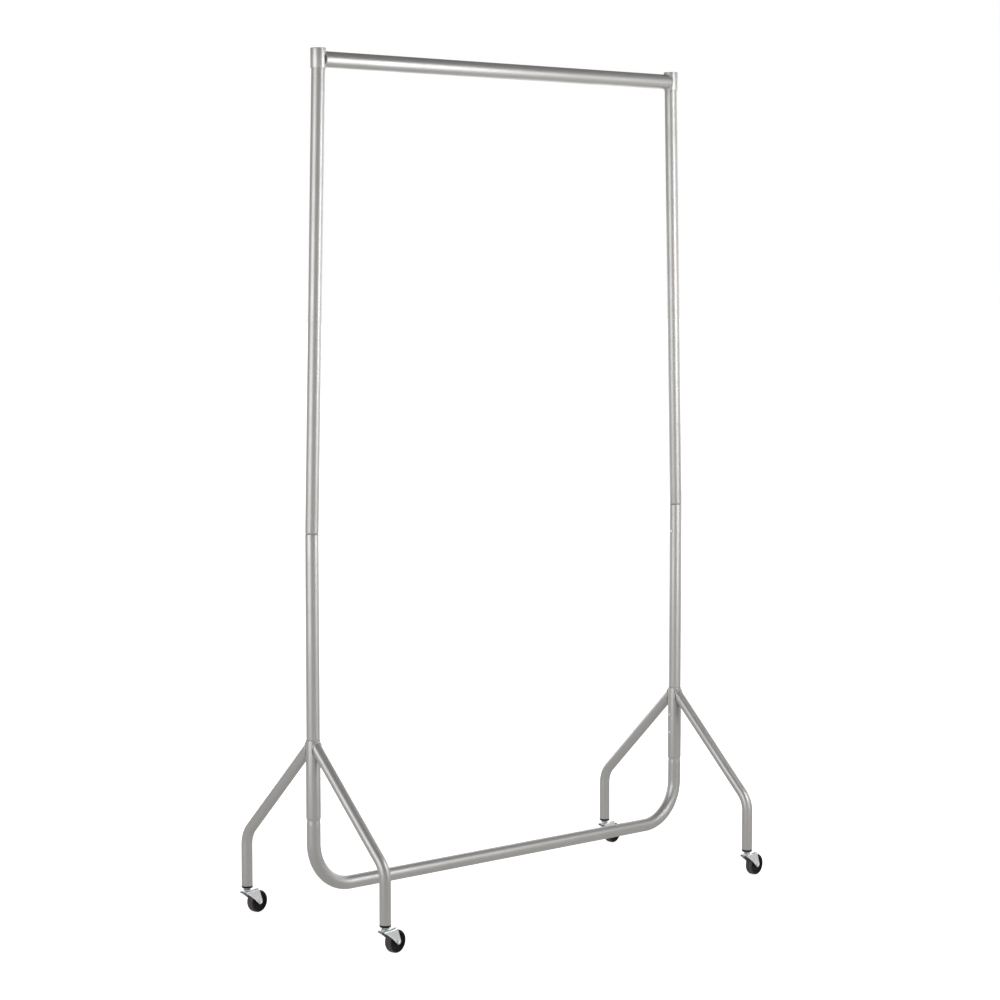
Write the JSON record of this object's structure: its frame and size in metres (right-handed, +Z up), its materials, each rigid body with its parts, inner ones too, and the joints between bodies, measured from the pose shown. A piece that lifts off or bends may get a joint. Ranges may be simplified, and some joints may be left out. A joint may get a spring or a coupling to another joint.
{
  "type": "rolling clothes rack",
  "caption": "Garment rail on sectioned tubular uprights, with splayed tubular feet, a U-shaped base rail and swivel casters.",
  "frame": {"origin": "on the floor, under the middle of the rack's outer box with the casters trailing towards +X", "axes": "+Z up, X along the hanging rail, -Y the front"},
  "size_m": [1.3032, 0.5688, 2.1],
  "materials": {
    "silver_paint": "satin metallic silver-grey powder coat",
    "zinc_plate": "bright zinc plate",
    "black_plastic": "moulded, satin black",
    "tyre_rubber": "matte dark grey rubber"
  },
  "bodies": {
    "frame": {"top_rail": "silver_paint", "base_rail": "silver_paint", "cap_plug_left": "silver_paint", "cap_sleeve_left": "silver_paint", "upper_upright_left": "silver_paint", "lower_upright_left": "silver_paint", "foot_sleeve_left": "silver_paint", "splice_screw_left": "zinc_plate", "sleeve_screw_upper_left": "zinc_plate", "sleeve_screw_lower_left": "zinc_plate", "cap_plug_right": "silver_paint", "cap_sleeve_right": "silver_paint", "upper_upright_right": "silver_paint", "lower_upright_right": "silver_paint", "foot_sleeve_right": "silver_paint", "splice_screw_right": "zinc_plate", "sleeve_screw_upper_right": "zinc_plate", "sleeve_screw_lower_right": "zinc_plate", "leg_front_left": "silver_paint", "caster_socket_front_left": "black_plastic", "caster_stem_front_left": "zinc_plate", "swivel_race_front_left": "zinc_plate", "leg_front_right": "silver_paint", "caster_socket_front_right": "black_plastic", "caster_stem_front_right": "zinc_plate", "swivel_race_front_right": "zinc_plate", "leg_rear_left": "silver_paint", "caster_socket_rear_left": "black_plastic", "caster_stem_rear_left": "zinc_plate", "swivel_race_rear_left": "zinc_plate", "leg_rear_right": "silver_paint", "caster_socket_rear_right": "black_plastic", "caster_stem_rear_right": "zinc_plate", "swivel_race_rear_right": "zinc_plate"},
    "swivel_front_left": {"caster_fork_front_left": "zinc_plate", "axle_rivet_front_left": "zinc_plate"},
    "wheel_front_left": {"wheel_core_front_left": "black_plastic", "tyre_front_left": "tyre_rubber"},
    "swivel_front_right": {"caster_fork_front_right": "zinc_plate", "axle_rivet_front_right": "zinc_plate"},
    "wheel_front_right": {"wheel_core_front_right": "black_plastic", "tyre_front_right": "tyre_rubber"},
    "swivel_rear_left": {"caster_fork_rear_left": "zinc_plate", "axle_rivet_rear_left": "zinc_plate"},
    "wheel_rear_left": {"wheel_core_rear_left": "black_plastic", "tyre_rear_left": "tyre_rubber"},
    "swivel_rear_right": {"caster_fork_rear_right": "zinc_plate", "axle_rivet_rear_right": "zinc_plate"},
    "wheel_rear_right": {"wheel_core_rear_right": "black_plastic", "tyre_rear_right": "tyre_rubber"}
  },
  "joints": [
    {"name": "front_left_swivel", "type": "hinge", "parent": "frame", "child": "swivel_front_left", "pos_m": [-0.63408, -0.27049, 0.06], "axis": [0, 0, 1], "continuous": true},
    {"name": "front_left_roll", "type": "hinge", "parent": "swivel_front_left", "child": "wheel_front_left", "pos_m": [-0.60041, -0.26576, 0.0275], "axis": [-0.1392, 0.9903, 0], "continuous": true},
    {"name": "front_right_swivel", "type": "hinge", "parent": "frame", "child": "swivel_front_right", "pos_m": [0.58992, -0.27049, 0.06], "axis": [0, 0, 1], "continuous": true},
    {"name": "front_right_roll", "type": "hinge", "parent": "swivel_front_right", "child": "wheel_front_right", "pos_m": [0.62359, -0.26576, 0.0275], "axis": [-0.1392, 0.9903, 0], "continuous": true},
    {"name": "rear_left_swivel", "type": "hinge", "parent": "frame", "child": "swivel_rear_left", "pos_m": [-0.63408, 0.26551, 0.06], "axis": [0, 0, 1], "continuous": true},
    {"name": "rear_left_roll", "type": "hinge", "parent": "swivel_rear_left", "child": "wheel_rear_left", "pos_m": [-0.60041, 0.27024, 0.0275], "axis": [-0.1392, 0.9903, 0], "continuous": true},
    {"name": "rear_right_swivel", "type": "hinge", "parent": "frame", "child": "swivel_rear_right", "pos_m": [0.58992, 0.26551, 0.06], "axis": [0, 0, 1], "continuous": true},
    {"name": "rear_right_roll", "type": "hinge", "parent": "swivel_rear_right", "child": "wheel_rear_right", "pos_m": [0.62359, 0.27024, 0.0275], "axis": [-0.1392, 0.9903, 0], "continuous": true}
  ]
}
